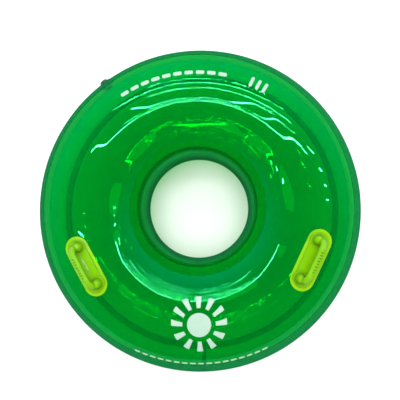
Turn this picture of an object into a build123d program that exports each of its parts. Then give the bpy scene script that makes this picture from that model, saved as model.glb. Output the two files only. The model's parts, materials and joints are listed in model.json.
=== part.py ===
"""Inflatable one-seat water tube: four welded PVC sheets, two moulded handles and a screw-in air valve.

Millimetres. +Z is up, the origin is the centre of the floor circle that the tube lies on, and the
front, between the two handles, faces -Y. One STEP file is written for each sub-part.
"""

import os
from math import cos, degrees, radians, sin

from build123d import *

# ---- tube: finished sizes, over the bands ----
outer_radius = 610.0
hole_radius = 195.0
hole_wall_height = 60.0  # straight part of the hole's wall
sheet = 1.0  # PVC sheet thickness
weld_gap = 0.1  # between two sheets, and under whatever is welded on
lap_width = 30.0  # where a band and a panel lie on each other
inner_band_reach = 120.0  # from mid height to the band's edge, along the section
outer_band_reach = 158.0
band_joint_width = 18.0  # strip behind a band's butt joint
panel_to_strip = 1.0  # between a panel's edge and that strip's end

# ---- handles ----
handle_angle = 62.5  # each side of the front
handle_tilt = 7.0  # degrees that the crown leans outwards under the handle
patch_length = 220.0
patch_width = 84.0
patch_thickness = 2.0
plinth_inset = 10.0  # patch edge to plinth edge
plinth_thickness = 3.0
grip_span = 140.0  # foot centre to foot centre
grip_height = 46.0  # bar centre above the tube
grip_bar_radius = 11.5
grip_bend_radius = 26.0
grip_foot_radius = 17.5
grip_foot_height = 30.0
grip_lean = 6.0  # degrees more that the grip leans outwards
grip_setback = 7.0  # of the feet, towards the hole
rib_count = 9
rib_pitch = 10.0
rib_width = 3.0
rib_height = 1.6

# ---- valve: heights are above the outer band's surface, along the valve's axis ----
valve_azimuth = 125.0
valve_rise = 5.5  # degrees above mid height
flange_width = 15.0  # weld flange round the neck
flange_thickness = 1.6
neck_bore_radius = 13.5
neck_wall = 3.5
neck_depth = 16.0
neck_height = 6.0
neck_hole_clearance = 0.3
running_gap = 0.3  # between pieces that move on each other
seat_gap = 0.05  # between faces that press together
seal_thickness = 1.5
seal_width = 3.0
insert_depth = 12.0
insert_flange_overhang = 2.5  # past the seal
insert_flange_thickness = 3.0
scallop_count = 12
scallop_radius = 2.0
port_radius = 8.0  # takes the pump's nozzle
spout_wall = 3.0
spout_height = 5.4
spider_lip = 0.6  # seat of the spider in the insert's lower end
spider_rim = 1.4
spider_depth = 2.0
spoke_width = 2.0
hub_wall = 1.7
stem_radius = 1.2
flap_lap = 3.5  # past the port, on the insert's lower face
flap_thickness = 1.0
flap_travel = 3.0
stem_head_lap = 0.9
stem_head_thickness = 1.5
cap_play = 0.5  # cap skirt to spout
cap_wall = 1.9
cap_top = 1.5
cap_tab_length = 5.0
cap_tab_width = 8.0
cap_ear_thickness = 1.9
strap_ring_width = 4.0
strap_width = 8.0
strap_lug_thickness = 2.0
hinge_standoff = 2.5  # hinge line beyond the strap's ring
hinge_height = 1.4  # hinge line above the insert's flange
hinge_drop = 1.25  # top of the strap's lug below the hinge line

# ---- what follows from them ----
band_lift = weld_gap + sheet  # outer face of a band above the panels' outer face
panel_hole_radius = hole_radius + band_lift
panel_outer_radius = outer_radius - band_lift
tube_height = panel_outer_radius - panel_hole_radius
mid_height = tube_height / 2
wall_half = hole_wall_height / 2
inner_arc_radius = mid_height - wall_half
outer_arc_radius = mid_height
inner_arc_centre = (panel_hole_radius + inner_arc_radius, wall_half)
outer_arc_centre = (panel_outer_radius - outer_arc_radius, 0.0)


def inner_angle(reach):
    """Angle on the inner arc, in degrees above its start, at a distance along the section from mid height."""
    return degrees((reach - wall_half) / inner_arc_radius)


def outer_angle(reach):
    return degrees(reach / outer_arc_radius)


def on_inner_arc(angle, offset):
    a = radians(angle)
    r = inner_arc_radius + offset
    return (inner_arc_centre[0] - r * cos(a), inner_arc_centre[1] + r * sin(a))


def on_outer_arc(angle, offset):
    a = radians(angle)
    r = outer_arc_radius + offset
    return (outer_arc_centre[0] + r * cos(a), outer_arc_centre[1] + r * sin(a))


def arc_between(on_arc, start, end, offset):
    """Arc of the section from one angle to another, as a curve of the section's plane."""
    middle = (start + end) / 2
    return ThreePointArc(on_arc(start, offset), on_arc(middle, offset), on_arc(end, offset))


def ring_from(curves):
    """Solid turned about the tube's axis from a closed outline of the section, at its height."""
    face = make_face(Plane.XZ * Curve(curves))
    return Pos(0, 0, mid_height) * revolve(face, axis=Axis.Z, revolution_arc=360)


def panel_curves(inner_start, outer_end, low, high):
    """Outline of a sheet over the top of the section, between two offsets from the panels' outer face."""
    curves = []
    for offset in (low, high):
        crown_start = on_inner_arc(90, offset)
        crown_end = on_outer_arc(90, offset)
        curves += [
            arc_between(on_inner_arc, inner_start, 90, offset),
            Line(crown_start, crown_end),
            arc_between(on_outer_arc, 90, outer_end, offset),
        ]
    curves += [
        Line(on_inner_arc(inner_start, low), on_inner_arc(inner_start, high)),
        Line(on_outer_arc(outer_end, low), on_outer_arc(outer_end, high)),
    ]
    return curves


def upper_panel():
    start = inner_angle(inner_band_reach - lap_width)
    end = outer_angle(outer_band_reach - lap_width)
    return ring_from(panel_curves(start, end, -sheet, 0))


def lower_panel(upper):
    return Pos(0, 0, mid_height) * mirror(Pos(0, 0, -mid_height) * upper, about=Plane.XY)


def flipped(point):
    return (point[0], -point[1])


def inner_band_curves(reach, low, high):
    """Outline of a strip of the hole's wall, reaching as far above mid height as below it."""
    top = inner_angle(reach)
    curves = []
    for offset in (low, high):
        start, middle, end = (on_inner_arc(a, offset) for a in (0, top / 2, top))
        curves += [
            Line(start, flipped(start)),
            ThreePointArc(start, middle, end),
            ThreePointArc(flipped(start), flipped(middle), flipped(end)),
        ]
    edge_low, edge_high = on_inner_arc(top, low), on_inner_arc(top, high)
    curves += [Line(edge_low, edge_high), Line(flipped(edge_low), flipped(edge_high))]
    return curves


def outer_band_curves(reach, low, high):
    top = outer_angle(reach)
    curves = [arc_between(on_outer_arc, -top, top, offset) for offset in (low, high)]
    for angle in (-top, top):
        curves.append(Line(on_outer_arc(angle, low), on_outer_arc(angle, high)))
    return curves


def inner_band():
    return ring_from(inner_band_curves(inner_band_reach, weld_gap, band_lift))


def front_slice(ring, near, far):
    """The part of a ring at the front that backs a band's butt joint, between two distances from the axis."""
    return ring & Pos(0, -(near + far) / 2, mid_height) * Box(band_joint_width, far - near, tube_height)


def inner_band_joint():
    """Strip welded behind the band's butt joint, on the air side, between the two panels."""
    reach = inner_band_reach - lap_width - panel_to_strip
    return front_slice(ring_from(inner_band_curves(reach, -sheet, 0)), hole_radius, inner_arc_centre[0])


def outer_band_joint():
    reach = outer_band_reach - lap_width - panel_to_strip
    return front_slice(ring_from(outer_band_curves(reach, -sheet, 0)), outer_arc_centre[0], outer_radius)


# ---- handles ----
patch_top = weld_gap + patch_thickness
plinth_bottom = patch_top + weld_gap
plinth_top = plinth_bottom + plinth_thickness


def handle_place(side):
    """Local +X runs along the tube, +Y away from the tube's axis and +Z out of the tube's skin."""
    out, up = on_outer_arc(90 - handle_tilt, 0)
    azimuth = 270 + side * handle_angle
    return Rot(0, 0, azimuth - 90) * Pos(0, out, mid_height + up) * Rot(-handle_tilt, 0, 0)


def crown_pad(place, length, width, low, high):
    """Oblong pad that follows the tube's crown between two offsets."""
    shell = ring_from(panel_curves(45, 45, low, high))
    post = extrude(SlotOverall(length, width), amount=mid_height / 2, both=True)
    return shell & place * post


def handle_patch(place):
    return crown_pad(place, patch_length, patch_width, weld_gap, patch_top)


def grip_bar():
    """Bar with its two bends, in the handle's own frame."""
    half = grip_span / 2
    path = FilletPolyline(
        (-half, 0, -grip_bar_radius),
        (-half, 0, grip_height),
        (half, 0, grip_height),
        (half, 0, -grip_bar_radius),
        radius=grip_bend_radius,
    )
    section = Plane((-half, 0, -grip_bar_radius), z_dir=(0, 0, 1)) * Circle(grip_bar_radius)
    return sweep(section, path=path)


def grip_feet():
    """Flared feet: each is a cone with a rounded shoulder round the bar's end."""
    half = grip_span / 2
    outline = Polyline(
        (0, -grip_bar_radius),
        (grip_foot_radius, -grip_bar_radius),
        (grip_foot_radius, grip_foot_height / 3),
        (grip_bar_radius - 0.5, grip_foot_height),
        (0, grip_foot_height),
        close=True,
    )
    foot = revolve(Plane.XZ * make_face(outline), axis=Axis.Z, revolution_arc=360)
    return [Pos(x, 0, 0) * foot for x in (-half, half)]


def grip_ribs():
    """Finger ribs under the bar, on its outer side: thin discs set off from the bar's centre."""
    offset = rib_height / 2
    radius = grip_bar_radius + offset
    rib = Rot(0, 90, 0) * Cylinder(radius, rib_width)
    first = -(rib_count - 1) / 2 * rib_pitch
    return [Pos(first + n * rib_pitch, offset, grip_height - offset) * rib for n in range(rib_count)]


def handle_grip(place):
    arch = grip_bar() + grip_feet() + grip_ribs()
    under = ring_from(panel_curves(30, 30, -mid_height / 2, plinth_bottom))
    arch = place * Pos(0, -grip_setback, 0) * Rot(-grip_lean, 0, 0) * arch - under
    plinth_length = patch_length - 2 * plinth_inset
    plinth_width = patch_width - 2 * plinth_inset
    return arch + crown_pad(place, plinth_length, plinth_width, plinth_bottom, plinth_top)


# ---- valve ----
valve_seat = on_outer_arc(valve_rise, band_lift)
valve_plane = Plane(
    origin=(
        valve_seat[0] * cos(radians(valve_azimuth)),
        valve_seat[0] * sin(radians(valve_azimuth)),
        valve_seat[1] + mid_height,
    ),
    x_dir=(-sin(radians(valve_azimuth)), cos(radians(valve_azimuth)), 0),
    z_dir=(
        cos(radians(valve_rise)) * cos(radians(valve_azimuth)),
        cos(radians(valve_rise)) * sin(radians(valve_azimuth)),
        sin(radians(valve_rise)),
    ),
)
neck_radius = neck_bore_radius + neck_wall
flange_radius = neck_radius + flange_width
seal_bottom = neck_height + seat_gap
seal_top = seal_bottom + seal_thickness
insert_flange_bottom = seal_top + seat_gap
insert_flange_top = insert_flange_bottom + insert_flange_thickness
spout_top = insert_flange_top + spout_height
insert_radius = neck_bore_radius - running_gap
seal_inner_radius = insert_radius + running_gap
seal_outer_radius = seal_inner_radius + seal_width
insert_flange_radius = seal_outer_radius + insert_flange_overhang
strap_ring_radius = seal_outer_radius + strap_ring_width
spout_radius = port_radius + spout_wall
spider_seat_radius = port_radius + spider_lip
spider_radius = spider_seat_radius - seat_gap
spider_top = spider_depth - insert_depth  # of its hub and spokes
stem_top = spider_top + running_gap + flap_travel + stem_head_thickness
port_bottom = stem_top + running_gap
stem_hole_radius = stem_radius + running_gap
hub_radius = stem_hole_radius + hub_wall
cap_inner_radius = spout_radius + cap_play
cap_radius = cap_inner_radius + cap_wall
cap_bottom = insert_flange_top + running_gap
cap_ceiling = spout_top + running_gap
hinge_line = insert_flange_top + hinge_height
hinge_reach = max(strap_ring_radius, cap_radius) + hinge_standoff
hinge_clearance = cap_ear_thickness / 2 + running_gap  # around the hinge line


def turned(radius, low, high):
    """Plain cylinder about the valve's axis between two heights."""
    return Pos(0, 0, (low + high) / 2) * Cylinder(radius, high - low)


def outer_band():
    band = ring_from(outer_band_curves(outer_band_reach, weld_gap, band_lift))
    hole = turned(neck_radius + neck_hole_clearance, -neck_depth, neck_height)
    return band - valve_plane.location * hole


def valve_flange():
    """Weld flange that follows the band, with the threaded neck through it."""
    low = band_lift + weld_gap
    skin = ring_from(outer_band_curves(outer_band_reach, low, low + flange_thickness))
    disc = skin & valve_plane.location * turned(flange_radius, -neck_depth, neck_height)
    neck = valve_plane.location * turned(neck_radius, -neck_depth, neck_height)
    bore = valve_plane.location * turned(neck_bore_radius, -neck_depth - 1, neck_height + 1)
    return disc + neck - bore


def washer(inner, outer, low, high):
    return turned(outer, low, high) - turned(inner, low - 1, high + 1)


def block(start, end, width, low, high):
    """Box across the valve's axis, from one distance along X to another and between two heights."""
    centre = ((start + end) / 2, 0, (low + high) / 2)
    return Pos(*centre) * Box(end - start, width, high - low)


def valve_seal():
    return washer(seal_inner_radius, seal_outer_radius, seal_bottom, seal_top)


def valve_insert():
    """Screw-in body: scalloped flange and spout, bored through for the pump and seated for the spider."""
    body = turned(insert_radius, -insert_depth, insert_flange_bottom)
    body += turned(insert_flange_radius, insert_flange_bottom, insert_flange_top)
    body += turned(spout_radius, insert_flange_top, spout_top)
    body -= turned(port_radius, -insert_depth - 1, spout_top + 1)
    body -= turned(spider_seat_radius, -insert_depth - 1, port_bottom)
    rim = PolarLocations(insert_flange_radius + scallop_radius / 2, scallop_count)
    scallop = turned(scallop_radius, insert_flange_bottom - 1, insert_flange_top + 1)
    return body - [place * scallop for place in rim]


def valve_spider():
    """Four spokes and a hub that guides the flap's stem, in a rim that stops the nozzle above the stem."""
    spider = washer(spider_radius - spider_rim, spider_radius, -insert_depth, port_bottom - seat_gap)
    spider += turned(hub_radius, -insert_depth, spider_top)
    reach = spider_radius - spider_rim / 2
    for turn in (0, 90):
        spider += Rot(0, 0, turn) * block(-reach, reach, spoke_width, -insert_depth, spider_top)
    return spider - turned(stem_hole_radius, -insert_depth - 1, spider_top + 1)


def valve_flap():
    """Disc that closes the port from the air side, on a stem whose head keeps it in the hub."""
    seat = -insert_depth - running_gap
    head = stem_top - stem_head_thickness
    flap = turned(port_radius + flap_lap, seat - flap_thickness, seat)
    flap += turned(stem_radius, seat, head)
    return flap + turned(stem_hole_radius + stem_head_lap, head, stem_top)


def valve_cap():
    """Snap cap over the spout, with a pull tab on one side and its half of the hinge on the other."""
    cap = turned(cap_radius, cap_bottom, cap_ceiling + cap_top)
    cap -= turned(cap_inner_radius, cap_bottom - 1, cap_ceiling)
    tab_start = cap_radius - cap_wall / 2
    cap += block(tab_start, cap_radius + cap_tab_length, cap_tab_width, cap_ceiling, cap_ceiling + cap_top)
    low, high = hinge_line - cap_ear_thickness / 2, hinge_line + cap_ear_thickness / 2
    cap += block(-hinge_reach, -tab_start, strap_width, low, high)
    knuckle = Rot(90, 0, 0) * Cylinder(cap_ear_thickness / 2, strap_width)
    return cap + Pos(-hinge_reach, 0, hinge_line) * knuckle


def valve_strap():
    """Ring trapped under the insert's flange, round the seal, with the lug that carries the cap's hinge."""
    ring = washer(seal_outer_radius + seat_gap, strap_ring_radius, seal_bottom, seal_top)
    lug_start = hinge_reach + hinge_clearance
    lug_end = lug_start + strap_lug_thickness
    arm = block(-lug_end, seal_thickness - strap_ring_radius, strap_width, seal_bottom, seal_top)
    return ring + arm + block(-lug_end, -lug_start, strap_width, seal_bottom, hinge_line - hinge_drop)


def build():
    """Every sub-part by its node's name."""
    upper = upper_panel()
    parts = {
        "upper_panel": upper,
        "lower_panel": lower_panel(upper),
        "inner_band": inner_band(),
        "inner_band_joint": inner_band_joint(),
        "outer_band": outer_band(),
        "outer_band_joint": outer_band_joint(),
        "valve_flange": valve_flange(),
    }
    for name, side in (("left", -1), ("right", 1)):
        place = handle_place(side)
        parts[f"handle_patch_{name}"] = handle_patch(place)
        parts[f"handle_grip_{name}"] = handle_grip(place)
    for make in (valve_seal, valve_insert, valve_spider, valve_flap, valve_cap, valve_strap):
        parts[make.__name__] = valve_plane.location * make()
    return parts


def main():
    os.makedirs("parts", exist_ok=True)
    for name, shape in build().items():
        shape.label = name
        export_step(shape, f"parts/{name}.step")
        print(name, len(shape.solids()), round(shape.volume, 1))


main()
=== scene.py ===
"""Looks of an inflatable one-seat water tube: film panels and bands, handles, valve and prints."""

import json

import bmesh
import bpy
import numpy as np
from bpy.props import FloatProperty, FloatVectorProperty, IntProperty
from mathutils import Matrix, Vector


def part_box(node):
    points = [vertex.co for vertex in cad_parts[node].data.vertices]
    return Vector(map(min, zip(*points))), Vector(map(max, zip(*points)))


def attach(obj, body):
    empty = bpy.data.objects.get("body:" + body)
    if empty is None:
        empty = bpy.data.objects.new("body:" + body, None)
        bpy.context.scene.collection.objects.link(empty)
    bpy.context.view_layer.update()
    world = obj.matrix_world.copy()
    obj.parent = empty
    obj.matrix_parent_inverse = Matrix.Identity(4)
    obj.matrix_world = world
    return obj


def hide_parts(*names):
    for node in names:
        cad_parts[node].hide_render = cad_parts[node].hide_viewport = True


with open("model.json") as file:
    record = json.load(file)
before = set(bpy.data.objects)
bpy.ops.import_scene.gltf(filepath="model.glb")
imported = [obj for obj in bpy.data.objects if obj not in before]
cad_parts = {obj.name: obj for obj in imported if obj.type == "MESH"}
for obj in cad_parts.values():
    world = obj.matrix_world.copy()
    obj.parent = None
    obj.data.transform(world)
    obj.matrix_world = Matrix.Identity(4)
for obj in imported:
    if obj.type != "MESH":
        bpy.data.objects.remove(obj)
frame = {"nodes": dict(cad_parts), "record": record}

bl_info = {
    "name": "Water Tube",
    "version": (1, 0, 0),
    "blender": (4, 5, 0),
    "location": "View3D > Sidebar > Water Tube",
    "description": "Builds the film, handles, valve and prints of an inflatable water tube round its frame",
    "category": "Add Mesh",
}

# ---- sizes in metres: the sheet's own, and the tube's as read from the frame ----
MM = 0.001
FILM = 1.0 * MM
WELD_GAP = 0.1 * MM
LAP = 30.0 * MM
BAND_LIFT = FILM + WELD_GAP
MOUNTS = {mount["name"]: mount for mount in frame["record"]["mounts"]}
JOINTS = {joint["name"]: joint for joint in frame["record"]["behaviour"]["joints"]}
PANEL_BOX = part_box("upper_panel")
TUBE_HEIGHT = PANEL_BOX[1][2]
MID_HEIGHT = TUBE_HEIGHT / 2
PANEL_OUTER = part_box("outer_band")[1][1] - BAND_LIFT
PANEL_HOLE = PANEL_OUTER - TUBE_HEIGHT
CREST_RADIUS = abs(MOUNTS["underside"]["pos_m"][1])
WALL_HALF = PANEL_HOLE + PANEL_OUTER - 2 * CREST_RADIUS
OUTER_ARC = MID_HEIGHT
INNER_ARC = MID_HEIGHT - WALL_HALF
OUTER_CENTRE = PANEL_OUTER - OUTER_ARC
INNER_CENTRE = PANEL_HOLE + INNER_ARC
OUTER_LENGTH = OUTER_ARC * np.pi / 2
CREST_LENGTH = OUTER_CENTRE - INNER_CENTRE
INNER_LENGTH = INNER_ARC * np.pi / 2
HALF_GIRTH = OUTER_LENGTH + CREST_LENGTH + INNER_LENGTH + WALL_HALF
OUTER_REACH = OUTER_ARC * np.arcsin((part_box("outer_band")[1][2] - MID_HEIGHT) / (OUTER_ARC + BAND_LIFT))
INNER_REACH = WALL_HALF + INNER_ARC * np.arcsin(
    (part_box("inner_band")[1][2] - MID_HEIGHT - WALL_HALF) / (INNER_ARC + BAND_LIFT)
)
JOINT_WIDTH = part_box("inner_band_joint")[1][0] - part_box("inner_band_joint")[0][0]
JOINT_GAP = 1.0 * MM
FRONT = -np.pi / 2
VALVE_AXIS = np.array(JOINTS["insert_lift"]["axis"])

# a handle's moulded form, in metres
HANDLE_TILT = np.radians(7)
FLANGE_SIZE = (220 * MM, 84 * MM, 0.1 * MM)  # length, width and height of the underside
FLANGE_PROFILE = [
    (0.0, 0.6 * MM),
    (0.3 * MM, 1.5 * MM),
    (1.2 * MM, 2.1 * MM),
    (3.0 * MM, 2.1 * MM),
    (4.6 * MM, 1.6 * MM),
    (9.0 * MM, 1.6 * MM),
    (12.0 * MM, 1.9 * MM),
]
PLINTH_SIZE = (198 * MM, 62 * MM, 2.0 * MM)
PLINTH_PROFILE = [
    (0.0, 2.2 * MM),
    (0.5 * MM, 4.2 * MM),
    (1.6 * MM, 5.2 * MM),
    (4.0 * MM, 5.2 * MM),
    (5.6 * MM, 4.3 * MM),
    (9.0 * MM, 4.0 * MM),
]
GRIP_SPAN = 140 * MM
GRIP_HEIGHT = 46 * MM
GRIP_SETBACK = 3.5 * MM
GRIP_BEND = 26 * MM
GRIP_START = 3 * MM
GRIP_LEAN = np.radians(6)
BAR_RADIUS = 10.4 * MM
LEG_RADIUS = 13 * MM
LEG_HEIGHT = 22 * MM
LEG_SHOULDER = 24 * MM
FOOT_RADIUS = 17.5 * MM
FOOT_HEIGHT = 31 * MM
FOOT_SETBACK = -12 * MM
FOOT_ROUNDNESS = 0.7
FOOT_FLARE = 4 * MM
FOOT_FILLET = 2.5 * MM
RIB_PITCH = 10 * MM
RIB_HALF = 3.5 * MM
RIB_STEEPNESS = 5
RIB_SIDE = np.radians(70)
GROOVE_SHARE = 0.6

# the hole in the outer band for the valve's neck
NECK_HOLE = 17.3 * MM
BORE_INSET = 5 * MM
BORE_HALF_LENGTH = 20 * MM
BORE_FACETS = 96

# film tints: share of light let through by one face
INNER_BAND_TINT = (0.07, 0.84, 0.14)
OUTER_BAND_TINT = (0.085, 0.83, 0.29)

# the printed marks: a sun at the front and three rows of dashes, placed from the middle of the crest
INK_BOTTOM = 0.03 * MM
INK_TOP = 0.12 * MM
SUN_SHIFT = -14 * MM
SUN_DISC = 40 * MM
SUN_RAYS = 12
RAY_REACH = (56 * MM, 94 * MM)
RAY_HALF_ANGLE = 0.11
RIM_DASHES = {"shift": -170 * MM, "first": FRONT - 8 * 0.052, "step": 0.052, "count": 17}
BACK_DASHES = {"shift": -78 * MM, "first": np.radians(76.5), "step": np.radians(4.9), "count": 10}
SLANT_DASHES = {"shift": -84 * MM, "first": np.radians(57.5), "step": np.radians(3.1), "count": 3}

# the camera, the floor and the lamps, in metres and watts
CAMERA_PLACE = (0.078, -0.083, MID_HEIGHT + 1.6)
CAMERA_TARGET = (0.007, 0.030, MID_HEIGHT)
CAMERA_ROLL = np.radians(1.8)
SENSOR_WIDTH = 36.0
FLOOR_HALF = 30.0
SOFT_HEIGHT = 4.5
SOFT_SIZE = 3.0
ROOM_TOWARDS = (-0.05, 0.50, -0.80)
ROOM_DARK = (0.0, 0.03, 0.03)
ROOM_LIGHT = (0.0, 0.98, 1.9)

# strip lamps overhead: place, length, width and watts
STRIP_LAMPS = (
    ((0.0, 0.80, 3.2), 2.6, 0.02, 13.0),
    ((0.15, 1.02, 3.2), 2.0, 0.008, 4.0),
    ((0.0, 1.20, 3.2), 1.6, 0.008, 3.0),
    ((0.4, 1.50, 3.2), 2.2, 0.014, 8.0),
    ((0.0, 2.2, 3.2), 3.6, 0.02, 18.0),
    ((0.2, 2.9, 3.2), 2.8, 0.014, 11.0),
    ((1.9, 1.1, 3.2), 0.35, 0.02, 3.0),
    ((2.3, 0.8, 3.2), 0.35, 0.02, 3.0),
    ((2.5, 0.5, 3.2), 0.3, 0.02, 3.0),
    ((2.6, 0.2, 3.2), 0.3, 0.02, 3.0),
    ((-1.5, -0.1, 3.2), 0.3, 0.02, 2.5),
    ((-1.7, -0.4, 3.2), 0.3, 0.02, 2.5),
    ((-1.9, -0.7, 3.2), 0.3, 0.02, 2.5),
)


# ---- settings ----
class TubeFilmSettings(bpy.types.PropertyGroup):
    """The film of the panels and bands."""

    tint: FloatVectorProperty(
        name="Tint",
        description="Share of light that one face of the film lets through",
        subtype="COLOR",
        size=3,
        min=0,
        max=1,
        default=(0.23, 0.925, 0.36),
    )
    pigment: FloatVectorProperty(
        name="Pigment",
        description="Colour of the light that the film scatters",
        subtype="COLOR",
        size=3,
        min=0,
        max=1,
        default=(0.0, 0.34, 0.075),
    )
    haze: FloatProperty(
        name="Haze",
        description="Share of light that the pigment scatters",
        default=0.10,
        min=0,
        max=1,
        subtype="FACTOR",
    )
    waviness: FloatProperty(
        name="Waviness",
        description="Height of the film's slow waves",
        default=0.2 * MM,
        min=0,
        unit="LENGTH",
    )
    pucker: FloatProperty(
        name="Pucker",
        description="Height of the puckers along the laps",
        default=0.11 * MM,
        min=0,
        unit="LENGTH",
    )
    columns: IntProperty(name="Columns", description="Facets round the tube", default=512, min=64)


class TubeHandleSettings(bpy.types.PropertyGroup):
    """The moulded handles."""

    color: FloatVectorProperty(
        name="Colour",
        description="Colour of the moulded vinyl",
        subtype="COLOR",
        size=3,
        min=0,
        max=1,
        default=(0.16, 0.42, 0.0),
    )
    rib_count: IntProperty(name="Ribs", description="Finger ribs on each bar", default=9, min=0)
    rib_height: FloatProperty(
        name="Rib height",
        description="How far a rib stands out of the bar",
        default=2.2 * MM,
        min=0,
        unit="LENGTH",
    )


class TubeValveSettings(bpy.types.PropertyGroup):
    """The air valve."""

    color: FloatVectorProperty(
        name="Colour",
        description="Colour of the valve's vinyl",
        subtype="COLOR",
        size=3,
        min=0,
        max=1,
        default=(0.004, 0.10, 0.03),
    )


class TubePrintSettings(bpy.types.PropertyGroup):
    """The printed marks."""

    ink: FloatVectorProperty(
        name="Ink",
        description="Colour of the screen-printed ink",
        subtype="COLOR",
        size=3,
        min=0,
        max=1,
        default=(0.35, 0.50, 0.40),
    )


class TubeStageSettings(bpy.types.PropertyGroup):
    """Floor, lights and camera."""

    sky: FloatProperty(name="Sky", description="Strength of the light from the room", default=0.85, min=0)
    soft: FloatProperty(
        name="Soft light",
        description="Watts of the big soft lamp overhead",
        default=150.0,
        min=0,
    )
    lens: FloatProperty(
        name="Lens",
        description="Focal length of the camera in millimetres",
        default=37.1,
        min=1,
    )


# ---- meshes ----
def put_mesh(name, points, faces):
    """Object with a mesh from an array of points and an array of quads."""
    mesh = bpy.data.meshes.new(name)
    mesh.vertices.add(len(points))
    mesh.vertices.foreach_set("co", np.asarray(points, np.float32).ravel())
    mesh.loops.add(faces.size)
    mesh.loops.foreach_set("vertex_index", faces.ravel().astype(np.int32))
    mesh.polygons.add(len(faces))
    mesh.polygons.foreach_set("loop_start", np.arange(0, faces.size, 4, dtype=np.int32))
    mesh.update(calc_edges=True)
    mesh.validate()
    ob = bpy.data.objects.new(name, mesh)
    bpy.context.scene.collection.objects.link(ob)
    return ob


def smooth(ob, angle=np.radians(38)):
    """Shades a piece smooth, apart from edges sharper than an angle."""
    ob.data.shade_smooth()
    ob.data.set_sharp_from_angle(angle=angle)


def weld(ob, distance=1e-6):
    """Merges points that coincide, drops faces that they leave empty, and turns all faces outwards."""
    bm = bmesh.new()
    bm.from_mesh(ob.data)
    bmesh.ops.remove_doubles(bm, verts=bm.verts, dist=distance)
    bmesh.ops.dissolve_degenerate(bm, edges=bm.edges, dist=distance)
    bmesh.ops.recalc_face_normals(bm, faces=bm.faces)
    bm.to_mesh(ob.data)
    bm.free()


def quads(rows, columns, start, wrap):
    """Faces of a grid of points whose rows close on themselves where wrap is true."""
    last = rows if wrap else rows - 1
    i, j = np.meshgrid(np.arange(last), np.arange(columns - 1), indexing="ij")
    k = (i + 1) % rows
    corners = np.stack([i * columns + j, k * columns + j, k * columns + j + 1, i * columns + j + 1], -1)
    return corners.reshape(-1, 4) + start


def slab(name, top, bottom, wrap=False):
    """Closed solid between two grids of the same shape: both faces and a wall along each open border."""
    rows, columns = top.shape[:2]
    points = np.concatenate([top.reshape(-1, 3), bottom.reshape(-1, 3)])
    below = rows * columns
    grid = np.arange(below).reshape(rows, columns)
    borders = [grid[:, 0], grid[::-1, -1]]
    if wrap:
        borders = [np.append(grid[:, 0], 0), np.append(grid[::-1, -1], grid[-1, -1])]
    else:
        borders += [grid[-1, :], grid[0, ::-1]]
    faces = [quads(rows, columns, 0, wrap), quads(rows, columns, below, wrap)[:, ::-1]]
    faces += [np.stack([b[1:], b[:-1], b[:-1] + below, b[1:] + below], -1) for b in borders]
    ob = put_mesh(name, points, np.concatenate(faces))
    weld(ob)
    smooth(ob)
    return ob


# ---- the tube's skin ----
def section(girth):
    """Radius, height and outward normal of the panels' outer face at a distance along the section.

    The distance starts at the outer mid height and runs over the top: a quarter circle, the flat crest, a
    smaller quarter circle and the straight wall of the hole, then the same mirrored below."""
    wrapped = (girth + HALF_GIRTH) % (2 * HALF_GIRTH) - HALF_GIRTH
    s = np.abs(wrapped)
    up = np.where(wrapped < 0, -1.0, 1.0)
    a = np.clip(s / OUTER_ARC, 0, np.pi / 2)
    crest = np.clip(s - OUTER_LENGTH, 0, CREST_LENGTH)
    b = np.clip((s - OUTER_LENGTH - CREST_LENGTH) / INNER_ARC, 0, np.pi / 2)
    wall = np.clip(s - OUTER_LENGTH - CREST_LENGTH - INNER_LENGTH, 0, WALL_HALF)
    radius = OUTER_CENTRE + OUTER_ARC * np.cos(a) - crest - INNER_ARC * np.sin(b)
    height = up * (OUTER_ARC * np.sin(a) - INNER_ARC * (1 - np.cos(b)) - wall)
    return radius, height, np.cos(a + b), up * np.sin(a + b)


def ripple(angle, girth):
    """Height of the film's waves.

    Slow sines run round and along the tube, and quick ones round it fade off to each side of the laps."""
    film = bpy.context.scene.tube_film
    rng = np.random.default_rng(11)
    height = np.zeros(np.broadcast(angle, girth).shape)
    for _ in range(14):
        around = rng.integers(2, 15)
        along = rng.integers(0, 6)
        phase = rng.uniform(0, 2 * np.pi, 2)
        size = film.waviness / (1.5 + 0.35 * around)
        wave = np.sin(around * angle + phase[0]) * np.cos(along * np.pi * girth / HALF_GIRTH + phase[1])
        height += size * wave
    laps = (OUTER_REACH - LAP / 2, HALF_GIRTH - INNER_REACH + LAP / 2)
    wrapped = (girth + HALF_GIRTH) % (2 * HALF_GIRTH) - HALF_GIRTH
    for lap in laps:
        near = np.exp(-(((np.abs(wrapped) - lap) / (0.9 * LAP)) ** 2))
        for _ in range(5):
            around = rng.integers(36, 90)
            phase = rng.uniform(0, 2 * np.pi)
            patchy = 0.5 + 0.5 * np.sin(rng.integers(3, 9) * angle + rng.uniform(0, 2 * np.pi))
            height += film.pucker / 2 * near * patchy * np.sin(around * angle + phase)
    return height


def skin(angle, girth, lift):
    """Points of the skin at an angle round the axis and a distance along the section.

    The lift off the panels and the ripple are added along the section's normal."""
    radius, height, out, up = section(girth)
    lift = lift + ripple(angle, girth)
    r = radius + lift * out
    return np.stack([r * np.cos(angle), r * np.sin(angle), MID_HEIGHT + height + lift * up], -1)


def film_ring(name, start, end, low, high, rows):
    """Film ring between two distances along the section and two lifts."""
    columns = bpy.context.scene.tube_film.columns
    angle = np.linspace(0, 2 * np.pi, columns, endpoint=False)[:, None]
    girth = np.linspace(start, end, rows)[None, :]
    return slab(name, skin(angle, girth, high), skin(angle, girth, low), wrap=True)


def film_strip(name, centre, half_angle, start, end, low, high):
    """Short piece of film ring, to each side of an angle."""
    angle = np.linspace(centre - half_angle, centre + half_angle, 13)[:, None]
    girth = np.linspace(start, end, 61)[None, :]
    return slab(name, skin(angle, girth, high), skin(angle, girth, low))


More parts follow.
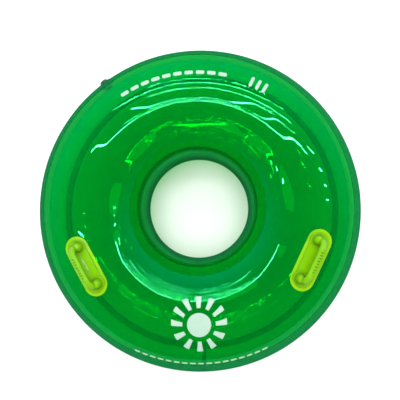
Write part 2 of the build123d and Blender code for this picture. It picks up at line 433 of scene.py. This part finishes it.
def girth_at(radius):
    """Distance along the section of the upper half's point at a radius."""
    on_outer = OUTER_ARC * np.arccos(np.clip((radius - OUTER_CENTRE) / OUTER_ARC, 0, 1))
    on_crest = OUTER_LENGTH + np.clip(OUTER_CENTRE - radius, 0, CREST_LENGTH)
    into_hole = np.clip((INNER_CENTRE - radius) / INNER_ARC, 0, 1)
    on_inner = OUTER_LENGTH + CREST_LENGTH + INNER_ARC * np.arcsin(into_hole)
    return np.where(radius > OUTER_CENTRE, on_outer, np.where(radius > INNER_CENTRE, on_crest, on_inner))


# ---- handles: local x runs along the tube, y outwards and z off the skin ----
def handle_frame(azimuth):
    """Origin on the skin and the three local axes of a handle."""
    tilt = HANDLE_TILT
    radius = OUTER_CENTRE + OUTER_ARC * np.sin(tilt)
    out = np.array([np.cos(azimuth), np.sin(azimuth), 0])
    up = np.array([0, 0, 1.0])
    origin = radius * out + (MID_HEIGHT + OUTER_ARC * np.cos(tilt)) * up
    along = np.array([np.sin(azimuth), -np.cos(azimuth), 0])
    return origin, along, np.cos(tilt) * out - np.sin(tilt) * up, np.sin(tilt) * out + np.cos(tilt) * up


def over_skin(azimuth, x, y, lift):
    """Points at local x and y, lifted off the skin below them."""
    origin, along, across, _ = handle_frame(azimuth)
    flat = origin + x[..., None] * along + y[..., None] * across
    return skin(np.arctan2(flat[..., 1], flat[..., 0]), girth_at(np.hypot(flat[..., 0], flat[..., 1])), lift)


def stadium(turn, half_length, radius):
    """Outline with straight sides and round ends: a circle whose halves are drawn apart along x."""
    return np.cos(turn) * radius + np.tanh(14 * np.cos(turn)) * half_length, np.sin(turn) * radius


def plate(name, azimuth, size, profile):
    """Stadium-shaped plate on the skin, whose size is its length, width and the height of its underside.

    The profile lists (inset from the edge, height) from the rim to the middle. Rings of the outline run from
    the middle line out along the underside and back in over the top."""
    length, width, low = size
    turn = np.linspace(0, 2 * np.pi, 192, endpoint=False)[:, None]
    knots = np.array(profile)
    steps = np.linspace(0, len(knots) - 1, 4 * (len(knots) - 1) + 1)
    inset = np.interp(steps, np.arange(len(knots)), knots[:, 0])
    inset = np.append(inset, np.linspace(inset[-1], width / 2, 8)[1:])[None, :]
    height = np.interp(steps, np.arange(len(knots)), knots[:, 1])
    height = np.append(height, np.full(7, knots[-1, 1]))[None, :]
    half = (length - width) / 2
    x, y = stadium(turn, half, width / 2 - inset)
    x, y = (np.concatenate([part[:, ::-1], part], axis=1) for part in (x, y))
    lift = np.concatenate([np.full_like(height, low), height], axis=1)
    points = over_skin(azimuth, x, y, lift + 0 * x)
    ob = put_mesh(name, points.reshape(-1, 3), quads(*points.shape[:2], 0, True))
    weld(ob)
    smooth(ob)
    return ob


def in_handle(azimuth, x, y, z):
    """Points at local x, y and z of a handle."""
    origin, along, across, out = handle_frame(azimuth)
    return origin + x[..., None] * along + y[..., None] * across + z[..., None] * out


def closed_tube(name, rings):
    """Closed skin over a stack of rings, whose two ends are drawn in to their middles."""
    ends = [np.repeat(ring.mean(0)[None, None], rings.shape[1], axis=1) for ring in (rings[0], rings[-1])]
    points = np.concatenate([ends[0], rings, ends[1]]).swapaxes(0, 1)
    ob = put_mesh(name, points.reshape(-1, 3), quads(*points.shape[:2], 0, True))
    weld(ob)
    smooth(ob)
    return ob


def grip(name, azimuth, handle):
    """Round bar on two legs: a circle carried up one leg, round a bend, along the bar and down the other.

    Its radius shrinks from the leg's to the bar's over the bend. Flat-topped ribs add to it on the outer
    side of the bar, and the grooves between them take some away."""
    rise = GRIP_HEIGHT - GRIP_BEND - GRIP_START
    bend = GRIP_BEND * np.pi / 2
    bar = GRIP_SPAN / 2 - GRIP_BEND
    half = rise + bend + bar
    s = np.concatenate([np.linspace(0, rise + bend, 90), np.linspace(rise + bend, half, 150)[1:]])
    s = np.concatenate([s, 2 * half - s[-2::-1]])[:, None]
    near = np.minimum(s, 2 * half - s)
    side = np.where(s < half, -1.0, 1.0)
    angle = np.clip((near - rise) / GRIP_BEND, 0, np.pi / 2)
    x = side * (bar + GRIP_BEND * np.cos(angle) - np.clip(near - rise - bend, 0, None))
    z = GRIP_START + np.clip(near, 0, rise) + GRIP_BEND * np.sin(angle)
    to_bar = np.clip((near - LEG_HEIGHT) / LEG_SHOULDER, 0, 1)
    shoulder = to_bar * to_bar * (3 - 2 * to_bar)
    radius = LEG_RADIUS + (BAR_RADIUS - LEG_RADIUS) * shoulder
    turn = np.linspace(0, 2 * np.pi, 64, endpoint=False)[None, :]
    first = (handle.rib_count - 1) / 2 * RIB_PITCH
    nearest = np.clip(np.round((x + first) / RIB_PITCH), 0, handle.rib_count - 1) * RIB_PITCH - first
    rib = np.clip(RIB_STEEPNESS * (1 - np.abs(x - nearest) / RIB_HALF), 0, 1)
    fingers = np.clip((first + RIB_PITCH / 2 - np.abs(x)) / RIB_HALF, 0, 1) * (near > rise + bend)
    outer_side = np.clip(0.3 + 1.7 * np.cos(turn - RIB_SIDE), 0, 1)
    radius = radius + handle.rib_height * (rib - GROOVE_SHARE * (1 - rib)) * fingers * outer_side
    # the section's axes: y across, and the path's own upward normal
    normal_x, normal_z = side * np.cos(angle), np.sin(angle)
    px = x + radius * np.cos(turn) * normal_x
    pz = z + radius * np.cos(turn) * normal_z
    py = radius * np.sin(turn) + np.tan(GRIP_LEAN) * pz - GRIP_SETBACK
    return closed_tube(name, in_handle(azimuth, px, py, pz))


def foot(name, azimuth, x):
    """Domed foot: a circle that shrinks as it climbs a rounded profile, with a flare at the plinth."""
    climb = np.linspace(0, np.pi / 2, 40)[:-1, None]
    turn = np.linspace(0, 2 * np.pi, 64, endpoint=False)[None, :]
    height = FOOT_HEIGHT * np.sin(climb)
    radius = FOOT_RADIUS * np.cos(climb) ** FOOT_ROUNDNESS + FOOT_FLARE * np.exp(-height / FOOT_FILLET)
    px, py = x + radius * np.cos(turn), FOOT_SETBACK + radius * np.sin(turn)
    return closed_tube(name, in_handle(azimuth, px, py, GRIP_START + height + 0 * turn))


def join(name, obs):
    """Objects made one, by adding their meshes."""
    bm = bmesh.new()
    for ob in obs:
        bm.from_mesh(ob.data)
        bpy.data.objects.remove(ob)
    mesh = bpy.data.meshes.new(name)
    bm.to_mesh(mesh)
    bm.free()
    ob = bpy.data.objects.new(name, mesh)
    bpy.context.scene.collection.objects.link(ob)
    smooth(ob)
    return ob


# ---- prints ----
def ink_patch(name, x, s, azimuth, wrap=False):
    """Thin ink over a grid of distances x round the tube and s along the section, from a centre azimuth."""
    radius = section(s)[0]
    angle = azimuth + x / radius
    return slab(name, skin(angle, s, INK_TOP), skin(angle, s, INK_BOTTOM), wrap)


def ink_ring(name, azimuth, s0, inner, outer, start=0.0, end=2 * np.pi, steps=72):
    """Sector of a flat ring on the skin, between two radii and two angles round its own centre."""
    whole = end - start > 2 * np.pi - 0.01
    turn = np.linspace(start, end, steps, endpoint=not whole)[:, None]
    reach = np.linspace(inner, outer, 9)[None, :]
    return ink_patch(name, reach * np.cos(turn), s0 + reach * np.sin(turn), azimuth, whole)


def ink_dash(name, azimuth, s0, length, width, slant=0.0):
    """Rounded dash on the skin, its length across the tube where slant is a right angle."""
    u = np.linspace(-1, 1, 25)[:, None]
    v = np.linspace(-1, 1, 9)[None, :]
    a = u * length / 2
    b = v * width / 2 * (1 - np.abs(u) ** 10) ** 0.5
    x = a * np.cos(slant) - b * np.sin(slant)
    s = s0 + a * np.sin(slant) + b * np.cos(slant)
    return ink_patch(name, x, s, azimuth)


def bore_out(ob, centre, axis, radius, half_length):
    """Cuts a round hole through a piece, with a cylinder that joins a circle at each end of an axis."""
    axis = Vector(axis).normalized()
    side = axis.orthogonal().normalized()
    turn = np.linspace(0, 2 * np.pi, BORE_FACETS, endpoint=False)[:, None]
    circle = radius * (np.cos(turn) * np.array(side) + np.sin(turn) * np.array(axis.cross(side)))
    rings = np.stack([centre + circle + end * half_length * np.array(axis) for end in (-1, 1)])
    cutter = closed_tube("cutter", rings)
    hole = ob.modifiers.new("hole", "BOOLEAN")
    hole.operation, hole.solver, hole.object = "DIFFERENCE", "EXACT", cutter
    bpy.context.view_layer.update()
    bored = ob.evaluated_get(bpy.context.evaluated_depsgraph_get())
    ob.data = bpy.data.meshes.new_from_object(bored)
    ob.modifiers.clear()
    bpy.data.objects.remove(cutter)
    smooth(ob)


# ---- materials ----
# a mix node's colour sockets, whose names its sockets for numbers and vectors share
MIX_A, MIX_B, MIX_RESULT = 6, 7, 2


def new_material(name):
    """Material with an empty node tree, and the tree."""
    mat = bpy.data.materials.new(name)
    mat.use_nodes = True
    mat.node_tree.nodes.clear()
    return mat, mat.node_tree


def calc(tree, operation, a, b=None, c=None):
    """Result of a math node; each value is a number or a socket."""
    node = tree.nodes.new("ShaderNodeMath")
    node.operation = operation
    for socket, value in zip(node.inputs, (a, b, c)):
        if value is None:
            continue
        if isinstance(value, (int, float)):
            socket.default_value = value
        else:
            tree.links.new(value, socket)
    return node.outputs[0]


def blend_colors(tree, factor, a, b):
    """Mix of two colours; each is a socket or a tuple."""
    node = tree.nodes.new("ShaderNodeMix")
    node.data_type = "RGBA"
    tree.links.new(factor, node.inputs["Factor"])
    for socket, value in zip((node.inputs[MIX_A], node.inputs[MIX_B]), (a, b)):
        if isinstance(value, bpy.types.NodeSocket):
            tree.links.new(value, socket)
        else:
            socket.default_value = (*value[:3], 1)
    return node.outputs[MIX_RESULT]


def noise(tree, vector, scale, detail=2.0, roughness=0.5, distortion=0.0):
    """Value of a noise texture at a vector."""
    node = tree.nodes.new("ShaderNodeTexNoise")
    node.inputs["Scale"].default_value = scale
    node.inputs["Detail"].default_value = detail
    node.inputs["Roughness"].default_value = roughness
    node.inputs["Distortion"].default_value = distortion
    tree.links.new(vector, node.inputs["Vector"])
    return node.outputs["Fac"]


def remap(tree, value, low, high, to_low, to_high):
    """Value carried over from one range to another, and clamped to it."""
    node = tree.nodes.new("ShaderNodeMapRange")
    tree.links.new(value, node.inputs["Value"])
    for key, number in (("From Min", low), ("From Max", high), ("To Min", to_low), ("To Max", to_high)):
        node.inputs[key].default_value = number
    return node.outputs["Result"]


def handling_group():
    """Marks that handling leaves on vinyl: masks of fine scuffs and of settled dust, and their height."""
    name = "handling marks"
    if name in bpy.data.node_groups:
        return bpy.data.node_groups[name]
    group = bpy.data.node_groups.new(name, "ShaderNodeTree")
    group.interface.new_socket("Scale", in_out="INPUT", socket_type="NodeSocketFloat").default_value = 1.0
    for out in ("Scuffs", "Dust", "Height"):
        group.interface.new_socket(out, in_out="OUTPUT", socket_type="NodeSocketFloat")
    source = group.nodes.new("NodeGroupInput")
    result = group.nodes.new("NodeGroupOutput")
    coords = group.nodes.new("ShaderNodeTexCoord")
    scaled = group.nodes.new("ShaderNodeVectorMath")
    scaled.operation = "SCALE"
    group.links.new(coords.outputs["Object"], scaled.inputs[0])
    group.links.new(source.outputs["Scale"], scaled.inputs["Scale"])
    vector = scaled.outputs[0]
    lines = noise(group, vector, 38.0, 4.0, 0.62, 1.6)
    ridge = calc(group, "ABSOLUTE", calc(group, "SUBTRACT", lines, 0.5))
    scuffs = remap(group, ridge, 0.0, 0.012, 1.0, 0.0)
    patches = remap(group, noise(group, vector, 5.0, 2.0), 0.50, 0.66, 0.0, 1.0)
    scuffs = calc(group, "MULTIPLY", scuffs, patches)
    dust = remap(group, noise(group, vector, 420.0, 2.0, 0.7), 0.60, 0.72, 0.0, 1.0)
    dust = calc(group, "MULTIPLY", dust, remap(group, noise(group, vector, 9.0, 3.0), 0.42, 0.70, 0.0, 1.0))
    height = calc(group, "MULTIPLY_ADD", scuffs, -1.0, noise(group, vector, 260.0, 2.0))
    for key, value in (("Scuffs", scuffs), ("Dust", dust), ("Height", height)):
        group.links.new(value, result.inputs[key])
    return group


def marks(tree, scale):
    """Outputs of the handling marks at a scale."""
    node = tree.nodes.new("ShaderNodeGroup")
    node.node_tree = handling_group()
    node.inputs["Scale"].default_value = scale
    return node.outputs


def bump(tree, height, strength, distance):
    """Normal tilted by a height."""
    node = tree.nodes.new("ShaderNodeBump")
    node.inputs["Strength"].default_value = strength
    node.inputs["Distance"].default_value = distance
    tree.links.new(height, node.inputs["Height"])
    return node.outputs["Normal"]


def film_material(name, tint, pigment, haze):
    """See-through vinyl: a tinted clear body with a little pigment haze, under a mirror gloss.

    The tint deepens where the film is seen at a slant, since light then takes a longer way through it."""
    mat, tree = new_material(name)
    out = tree.nodes.new("ShaderNodeOutputMaterial")
    coords = tree.nodes.new("ShaderNodeTexCoord").outputs["Object"]
    worn = marks(tree, 1.0)
    cloud = noise(tree, coords, 3.2, 3.0, 0.6)
    normal = bump(tree, worn["Height"], 0.01, 0.0004)
    clear = tree.nodes.new("ShaderNodeBsdfTransparent")
    deep = tuple(c * 0.97 for c in tint)
    face_on = blend_colors(tree, remap(tree, cloud, 0.35, 0.65, 0, 1), deep, tint)
    edge = tree.nodes.new("ShaderNodeLayerWeight")
    edge.inputs["Blend"].default_value = 0.5
    long_way = calc(tree, "POWER", edge.outputs["Facing"], 2.5)
    slanted = tuple(c * 0.40 for c in tint)
    tree.links.new(blend_colors(tree, long_way, face_on, slanted), clear.inputs["Color"])
    body = tree.nodes.new("ShaderNodeBsdfPrincipled")
    pale = tuple(0.9 * c + 0.1 * w for c, w in zip(pigment, (0.4, 0.85, 0.45)))
    tree.links.new(blend_colors(tree, worn["Dust"], pigment, pale), body.inputs["Base Color"])
    tree.links.new(remap(tree, worn["Scuffs"], 0, 1, 0.35, 0.6), body.inputs["Roughness"])
    body.inputs["Specular IOR Level"].default_value = 0.0
    tree.links.new(normal, body.inputs["Normal"])
    inner = tree.nodes.new("ShaderNodeMixShader")
    cover = calc(tree, "MULTIPLY_ADD", worn["Scuffs"], 0.06, haze)
    cover = calc(tree, "MULTIPLY_ADD", worn["Dust"], 0.05, cover)
    tree.links.new(cover, inner.inputs[0])
    tree.links.new(clear.outputs[0], inner.inputs[1])
    tree.links.new(body.outputs[0], inner.inputs[2])
    gloss = tree.nodes.new("ShaderNodeBsdfGlossy")
    gloss.inputs["Color"].default_value = (0.08, 0.72, 0.36, 1)
    tree.links.new(remap(tree, worn["Scuffs"], 0, 1, 0.008, 0.08), gloss.inputs["Roughness"])
    tree.links.new(normal, gloss.inputs["Normal"])
    facing = tree.nodes.new("ShaderNodeLayerWeight")
    facing.inputs["Blend"].default_value = 0.5
    tree.links.new(normal, facing.inputs["Normal"])
    rise = calc(tree, "POWER", facing.outputs["Facing"], 6.0)
    share = calc(tree, "MULTIPLY_ADD", rise, 0.02, 0.10)
    final = tree.nodes.new("ShaderNodeMixShader")
    tree.links.new(share, final.inputs[0])
    tree.links.new(inner.outputs[0], final.inputs[1])
    tree.links.new(gloss.outputs[0], final.inputs[2])
    tree.links.new(final.outputs[0], out.inputs["Surface"])
    return mat


def vinyl_material(name, color, shade, gloss, grain, coat):
    """Moulded soft vinyl: cloudy colour, fine grain, scuffed gloss and dust in the texture, with painted
    shade that darkens the colour in hollows and where the surface turns away from the camera.
    """
    mat, tree = new_material(name)
    out = tree.nodes.new("ShaderNodeOutputMaterial")
    coords = tree.nodes.new("ShaderNodeTexCoord").outputs["Object"]
    worn = marks(tree, 3.0)
    cloud = remap(tree, noise(tree, coords, 14.0, 4.0, 0.6), 0.3, 0.7, 0, 1)
    # painted shade: ambient occlusion darkens the colour in hollows, such as the gap under the bar and round
    # the feet, and the colour darkens further where the surface is seen at a slant
    painted_shade_ao = tree.nodes.new("ShaderNodeAmbientOcclusion")
    painted_shade_ao.samples = 4
    painted_shade_ao.inputs["Distance"].default_value = 0.018
    edge = tree.nodes.new("ShaderNodeLayerWeight")
    edge.inputs["Blend"].default_value = 0.5
    free_of_painted_shade = remap(tree, painted_shade_ao.outputs["AO"], 0.3, 0.95, 0.0, 1.0)
    free_of_painted_shade = calc(tree, "MULTIPLY", free_of_painted_shade, remap(tree, edge.outputs["Facing"], 0.25, 0.9, 1.0, 0.45))
    # where the factor is 0 the painted shade takes the colour down to 0.3 of the vinyl's own
    base = blend_colors(tree, free_of_painted_shade, tuple(c * 0.3 for c in color), blend_colors(tree, cloud, shade, color))
    pale = tuple(0.8 * c + 0.2 * w for c, w in zip(color, (0.8, 0.85, 0.7)))
    body = tree.nodes.new("ShaderNodeBsdfPrincipled")
    dusty = calc(tree, "MULTIPLY", worn["Dust"], 0.5)
    tree.links.new(blend_colors(tree, dusty, base, pale), body.inputs["Base Color"])
    tree.links.new(remap(tree, worn["Scuffs"], 0, 1, gloss, gloss + 0.25), body.inputs["Roughness"])
    body.inputs["Specular IOR Level"].default_value = 0.45
    body.inputs["Coat Weight"].default_value = coat
    body.inputs["Coat Roughness"].default_value = 0.08
    fine = noise(tree, coords, grain, 2.0, 0.6)
    height = calc(tree, "MULTIPLY_ADD", worn["Height"], 0.5, fine)
    tree.links.new(bump(tree, height, 0.18, 0.0003), body.inputs["Normal"])
    tree.links.new(body.outputs[0], out.inputs["Surface"])
    return mat


def ink_material(name, color):
    """Screen-printed ink: matt, thinner in specks and along fine cracks, so that some film shows through."""
    mat, tree = new_material(name)
    out = tree.nodes.new("ShaderNodeOutputMaterial")
    coords = tree.nodes.new("ShaderNodeTexCoord").outputs["Object"]
    worn = marks(tree, 2.0)
    body = tree.nodes.new("ShaderNodeBsdfPrincipled")
    thin = remap(tree, noise(tree, coords, 300.0, 3.0, 0.7), 0.35, 0.75, 0, 1)
    shade = tuple(c * 0.86 for c in color)
    tree.links.new(blend_colors(tree, thin, color, shade), body.inputs["Base Color"])
    tree.links.new(remap(tree, worn["Scuffs"], 0, 1, 0.38, 0.55), body.inputs["Roughness"])
    tree.links.new(bump(tree, worn["Height"], 0.1, 0.0002), body.inputs["Normal"])
    tree.links.new(remap(tree, worn["Scuffs"], 0, 1, 0.96, 0.6), body.inputs["Alpha"])
    tree.links.new(body.outputs[0], out.inputs["Surface"])
    return mat


def dress(ob, mat):
    """Gives a new piece its one material."""
    ob.data.materials.clear()
    ob.data.materials.append(mat)


def dress_node(node, mat):
    """Gives a CAD node's object a material in its slots."""
    ob = frame["nodes"][node]
    if not ob.material_slots:
        ob.data.materials.append(mat)
    for entry in ob.material_slots:
        entry.link = "OBJECT"
        entry.material = mat


def stand_for(ob, node, body="tube"):
    """A new piece takes a CAD node's place and body."""
    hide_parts(node)
    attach(ob, body)


# ---- operators ----
class TUBE_OT_panels(bpy.types.Operator):
    """Build the two film panels, over and under the tube"""

    bl_idname = "tube.panels"
    bl_label = "Panels"

    def execute(self, context):
        film = context.scene.tube_film
        mat = film_material("panel film", tuple(film.tint), tuple(film.pigment), film.haze)
        start, end = OUTER_REACH - LAP, HALF_GIRTH - INNER_REACH + LAP
        for name, low, high in (("upper_panel", start, end), ("lower_panel", -end, -start)):
            ob = film_ring("film_" + name, low, high, -FILM, 0.0, 88)
            dress(ob, mat)
            stand_for(ob, name)
        return {"FINISHED"}


class TUBE_OT_bands(bpy.types.Operator):
    """Build the bands of the hole's wall and the outer wall, and the strips behind their joints"""

    bl_idname = "tube.bands"
    bl_label = "Bands"

    def execute(self, context):
        film = context.scene.tube_film
        inner_mat = film_material("inner band film", INNER_BAND_TINT, tuple(film.pigment), film.haze)
        outer_mat = film_material("outer band film", OUTER_BAND_TINT, tuple(film.pigment), film.haze)
        hole = HALF_GIRTH
        bands = (
            ("inner_band", hole - INNER_REACH, hole + INNER_REACH, 80, inner_mat),
            ("outer_band", -OUTER_REACH, OUTER_REACH, 86, outer_mat),
        )
        for name, start, end, rows, mat in bands:
            ob = film_ring("film_" + name, start, end, WELD_GAP, BAND_LIFT, rows)
            if name == "outer_band":
                port = MOUNTS["pump_port"]
                centre = np.array(port["pos_m"]) - BORE_INSET * VALVE_AXIS
                bore_out(ob, centre, port["axis"], NECK_HOLE, BORE_HALF_LENGTH)
            dress(ob, mat)
            stand_for(ob, name)
        strips = (
            ("inner_band_joint", PANEL_HOLE, hole, INNER_REACH - LAP - JOINT_GAP, inner_mat),
            ("outer_band_joint", PANEL_OUTER, 0.0, OUTER_REACH - LAP - JOINT_GAP, outer_mat),
        )
        for name, radius, middle, reach, mat in strips:
            half = np.arcsin(JOINT_WIDTH / 2 / radius)
            ob = film_strip("film_" + name, FRONT, half, middle - reach, middle + reach, -FILM, 0.0)
            dress(ob, mat)
            stand_for(ob, name)
        return {"FINISHED"}


class TUBE_OT_handles(bpy.types.Operator):
    """Build the two moulded handles, each a welded flange and a bar on two feet"""

    bl_idname = "tube.handles"
    bl_label = "Handles"

    def execute(self, context):
        color = tuple(context.scene.tube_handle.color)
        flange_mat = vinyl_material("lime flange vinyl", color, (0.22, 0.50, 0.0), 0.16, 500.0, 0.0)
        mat = vinyl_material("lime vinyl", color, tuple(c * 0.84 for c in color), 0.14, 700.0, 0.0)
        for side in ("left", "right"):
            x, y, _ = MOUNTS["grip_" + side]["pos_m"]
            azimuth = np.arctan2(y, x)
            flange = plate("flange_" + side, azimuth, FLANGE_SIZE, FLANGE_PROFILE)
            dress(flange, flange_mat)
            stand_for(flange, "handle_patch_" + side)
            plinth = plate("plinth_" + side, azimuth, PLINTH_SIZE, PLINTH_PROFILE)
            bar = grip("bar_" + side, azimuth, context.scene.tube_handle)
            feet = [foot("foot_" + side, azimuth, end * GRIP_SPAN / 2) for end in (-1, 1)]
            moulding = join("handle_" + side, [plinth, bar, *feet])
            dress(moulding, mat)
            stand_for(moulding, "handle_grip_" + side)
        return {"FINISHED"}


class TUBE_OT_valve(bpy.types.Operator):
    """Dress the air valve"""

    bl_idname = "tube.valve"
    bl_label = "Valve"

    def execute(self, context):
        color = tuple(context.scene.tube_valve.color)
        shade = tuple(c * 0.7 for c in color)
        mat = vinyl_material("valve vinyl", color, shade, 0.34, 1200.0, 0.15)
        rubber = vinyl_material("seal rubber", (0.02, 0.02, 0.02), (0.012, 0.012, 0.012), 0.6, 1500.0, 0.0)
        for node in ("valve_flange", "valve_insert", "valve_spider", "valve_cap", "valve_strap"):
            dress_node(node, mat)
        for node in ("valve_seal", "valve_flap"):
            dress_node(node, rubber)
        return {"FINISHED"}


class TUBE_OT_prints(bpy.types.Operator):
    """Build the printed marks: a plain sun and rows of plain dashes"""

    bl_idname = "tube.prints"
    bl_label = "Prints"

    def execute(self, context):
        mat = ink_material("white ink", tuple(context.scene.tube_print.ink))
        crest = OUTER_LENGTH + CREST_LENGTH / 2
        sun = crest + SUN_SHIFT
        parts = [ink_ring("disc", FRONT, sun, 0.0, SUN_DISC)]
        for number in range(SUN_RAYS):
            turn = number * 2 * np.pi / SUN_RAYS
            span = (turn - RAY_HALF_ANGLE, turn + RAY_HALF_ANGLE)
            parts.append(ink_ring("ray", FRONT, sun, *RAY_REACH, *span, steps=9))
        parts += self.dashes(crest, RIM_DASHES, 20 * MM, 9 * MM)
        self.mark(parts, "print_sun", mat)
        parts = self.dashes(crest, BACK_DASHES, 30 * MM, 15 * MM)
        parts += self.dashes(crest, SLANT_DASHES, 44 * MM, 11 * MM, np.pi / 2)
        self.mark(parts, "print_dashes", mat)
        return {"FINISHED"}

    def dashes(self, crest, row, length, width, slant=0.0):
        """Row of dashes at even steps round the tube."""
        places = row["first"] + row["step"] * np.arange(row["count"])
        return [ink_dash("dash", place, crest + row["shift"], length, width, slant) for place in places]

    def mark(self, parts, name, mat):
        """Joins marks into one piece of ink on the tube."""
        ob = join(name, parts)
        dress(ob, mat)
        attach(ob, "tube")


class TUBE_OT_stage(bpy.types.Operator):
    """Build the floor, the lights and the camera"""

    bl_idname = "tube.stage"
    bl_label = "Stage"

    def execute(self, context):
        stage = context.scene.tube_stage
        self.floor()
        self.lights(context, stage)
        self.camera(context, stage)
        view = context.scene.view_settings
        view.view_transform = "Standard"
        view.look = "None"
        context.scene.cycles.transparent_max_bounces = 40
        context.scene.cycles.max_bounces = 16
        context.scene.cycles.use_denoising = True
        return {"FINISHED"}

    def floor(self):
        """Wide matt floor under the tube."""
        corners = FLOOR_HALF * np.array([(-1, -1, 0), (1, -1, 0), (1, 1, 0), (-1, 1, 0)])
        ob = put_mesh("floor", corners, np.array([[0, 1, 2, 3]]))
        mat, tree = new_material("pale floor")
        out = tree.nodes.new("ShaderNodeOutputMaterial")
        body = tree.nodes.new("ShaderNodeBsdfPrincipled")
        coords = tree.nodes.new("ShaderNodeTexCoord").outputs["Object"]
        cloud = noise(tree, coords, 2.0, 3.0)
        pale = blend_colors(tree, cloud, (0.80, 0.80, 0.80), (0.84, 0.84, 0.84))
        tree.links.new(pale, body.inputs["Base Color"])
        body.inputs["Roughness"].default_value = 0.8
        body.inputs["Specular IOR Level"].default_value = 0.1
        tree.links.new(body.outputs[0], out.inputs["Surface"])
        dress(ob, mat)

    def lights(self, context, stage):
        """The room, a soft lamp that leaves no reflection, and thin strip lamps that do."""
        self.surroundings(context, stage)
        overhead, middle = (0, 0, SOFT_HEIGHT), (0, 0, MID_HEIGHT)
        soft = self.lamp("soft_top", overhead, middle, SOFT_SIZE, SOFT_SIZE, stage.soft)
        soft.visible_glossy = False
        for number, (place, length, width, watts) in enumerate(STRIP_LAMPS):
            self.lamp(f"strip_{number}", place, (*place[:2], 0), length, width, watts)

    def lamp(self, name, place, target, length, width, watts):
        """Rectangular lamp that looks at a target, its length along X."""
        data = bpy.data.lights.new(name, "AREA")
        data.shape = "RECTANGLE"
        data.size, data.size_y, data.energy = length, width, watts
        ob = bpy.data.objects.new(name, data)
        ob.location = place
        aim = Vector(target) - ob.location
        ob.rotation_euler = aim.to_track_quat("-Z", "Y").to_euler()
        bpy.context.scene.collection.objects.link(ob)
        return ob

    def surroundings(self, context, stage):
        """Even white light whose reflection is a dim room, lighter and greener low down on one side."""
        world = bpy.data.worlds.new("studio")
        world.use_nodes = True
        tree = world.node_tree
        coords = tree.nodes.new("ShaderNodeTexCoord").outputs["Generated"]
        dot = tree.nodes.new("ShaderNodeVectorMath")
        dot.operation = "DOT_PRODUCT"
        tree.links.new(coords, dot.inputs[0])
        dot.inputs[1].default_value = Vector(ROOM_TOWARDS).normalized()
        share = calc(tree, "POWER", remap(tree, dot.outputs["Value"], -0.84, 0.53, 0.0, 1.0), 1.5)
        room = blend_colors(tree, share, ROOM_DARK, ROOM_LIGHT)
        mirrored = tree.nodes.new("ShaderNodeLightPath").outputs["Is Glossy Ray"]
        back = tree.nodes["Background"]
        tree.links.new(blend_colors(tree, mirrored, (1.0, 1.0, 1.0), room), back.inputs["Color"])
        back.inputs["Strength"].default_value = stage.sky
        context.scene.world = world

    def camera(self, context, stage):
        """Camera that looks down on the tube, its upward side turned towards +Y apart from a small roll."""
        data = bpy.data.cameras.new("camera")
        data.lens = stage.lens
        data.sensor_width = SENSOR_WIDTH
        ob = bpy.data.objects.new("camera", data)
        back = (Vector(CAMERA_PLACE) - Vector(CAMERA_TARGET)).normalized()
        right = Vector((np.sin(CAMERA_ROLL), np.cos(CAMERA_ROLL), 0)).cross(back).normalized()
        ob.rotation_euler = Matrix((right, back.cross(right), back)).transposed().to_euler()
        ob.location = CAMERA_PLACE
        context.scene.collection.objects.link(ob)
        context.scene.camera = ob


class TUBE_PT_panel(bpy.types.Panel):
    """Lists the tube's operators in the sidebar"""

    bl_idname = "TUBE_PT_panel"
    bl_label = "Water Tube"
    bl_space_type = "VIEW_3D"
    bl_region_type = "UI"
    bl_category = "Water Tube"

    def draw(self, context):
        for operator in OPERATORS:
            self.layout.operator(operator.bl_idname)
        for group in SETTINGS:
            settings = getattr(context.scene, group)
            for key in settings.bl_rna.properties.keys():
                if key not in ("rna_type", "name"):
                    self.layout.prop(settings, key)


SETTINGS = {
    "tube_film": TubeFilmSettings,
    "tube_handle": TubeHandleSettings,
    "tube_valve": TubeValveSettings,
    "tube_print": TubePrintSettings,
    "tube_stage": TubeStageSettings,
}
OPERATORS = (TUBE_OT_panels, TUBE_OT_bands, TUBE_OT_handles, TUBE_OT_valve, TUBE_OT_prints, TUBE_OT_stage)


def register():
    for cls in (*SETTINGS.values(), *OPERATORS, TUBE_PT_panel):
        bpy.utils.register_class(cls)
    for name, cls in SETTINGS.items():
        setattr(bpy.types.Scene, name, bpy.props.PointerProperty(type=cls))


def unregister():
    for name in SETTINGS:
        delattr(bpy.types.Scene, name)
    for cls in reversed((*SETTINGS.values(), *OPERATORS, TUBE_PT_panel)):
        bpy.utils.unregister_class(cls)


def main():
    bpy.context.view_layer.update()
    register()
    for operator in OPERATORS:
        category, name = operator.bl_idname.split(".")
        getattr(getattr(bpy.ops, category), name)()


if __name__ == "__main__":
    main()
